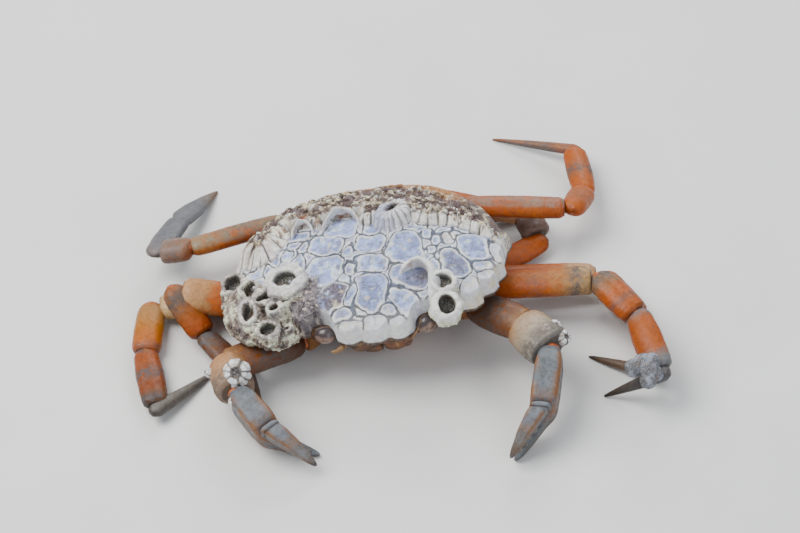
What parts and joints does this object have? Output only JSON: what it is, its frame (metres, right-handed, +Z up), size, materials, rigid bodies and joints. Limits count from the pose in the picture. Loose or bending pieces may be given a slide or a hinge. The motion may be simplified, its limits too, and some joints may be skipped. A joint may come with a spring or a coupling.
{
  "type": "green crab",
  "caption": "Still, life-size green shore crab standing on its leg tips, its shell covered with raised barnacle scars and standing barnacles, claws held low in front.",
  "frame": {"origin": "on the floor, below the middle of the part's bounding box", "axes": "+Z up, the crab faces -Y and its left side is towards +X"},
  "size_m": [0.1232, 0.1058, 0.028],
  "materials": {
    "shell_scarred": "chalky blue-white barnacle plates with white rims and dark grooves, rough cream and brown crust",
    "shell_brown": "smooth reddish-brown shell, slightly damp",
    "belly_cream": "smooth cream to pale orange shell",
    "leg_orange": "smooth orange shell with a damp sheen, paler along the upper edge",
    "leg_tip": "grey to brown shell, darker at the tip",
    "claw_grey": "blue-grey shell with cream and orange patches, finely pitted",
    "eye_dark": "glossy dark brown"
  },
  "bodies": {
    "root": {"carapace": "shell_scarred", "thorax": "shell_brown", "abdomen": "belly_cream", "mouth_plate_left": "belly_cream", "mouth_plate_right": "belly_cream", "eye_left": "eye_dark", "eye_right": "eye_dark", "antenna_left": "belly_cream", "antenna_right": "belly_cream", "claw_left_hip": "shell_brown", "claw_left_merus": "leg_orange", "claw_left_carpus": "belly_cream", "claw_left_propodus": "claw_grey", "claw_left_dactyl": "claw_grey", "claw_right_hip": "shell_brown", "claw_right_merus": "leg_orange", "claw_right_carpus": "belly_cream", "claw_right_propodus": "claw_grey", "claw_right_dactyl": "claw_grey", "leg_2_left_hip": "shell_brown", "leg_2_left_merus": "leg_orange", "leg_2_left_carpus": "leg_orange", "leg_2_left_propodus": "leg_orange", "leg_2_left_dactyl": "leg_tip", "leg_3_left_hip": "shell_brown", "leg_3_left_merus": "leg_orange", "leg_3_left_carpus": "leg_orange", "leg_3_left_propodus": "leg_orange", "leg_3_left_dactyl": "leg_tip", "leg_4_left_hip": "shell_brown", "leg_4_left_merus": "leg_orange", "leg_4_left_carpus": "leg_orange", "leg_4_left_propodus": "leg_orange", "leg_4_left_dactyl": "leg_tip", "leg_5_left_hip": "shell_brown", "leg_5_left_merus": "leg_orange", "leg_5_left_carpus": "leg_orange", "leg_5_left_propodus": "leg_orange", "leg_5_left_dactyl": "leg_tip", "leg_2_right_hip": "shell_brown", "leg_2_right_merus": "leg_orange", "leg_2_right_carpus": "leg_orange", "leg_2_right_propodus": "leg_orange", "leg_2_right_dactyl": "leg_tip", "leg_3_right_hip": "shell_brown", "leg_3_right_merus": "leg_orange", "leg_3_right_carpus": "leg_orange", "leg_3_right_propodus": "leg_orange", "leg_3_right_dactyl": "leg_tip", "leg_4_right_hip": "shell_brown", "leg_4_right_merus": "leg_orange", "leg_4_right_carpus": "leg_orange", "leg_4_right_propodus": "leg_orange", "leg_4_right_dactyl": "leg_tip", "leg_5_right_hip": "shell_brown", "leg_5_right_merus": "leg_orange", "leg_5_right_carpus": "leg_orange", "leg_5_right_propodus": "leg_orange", "leg_5_right_dactyl": "leg_tip"}
  },
  "joints": []
}
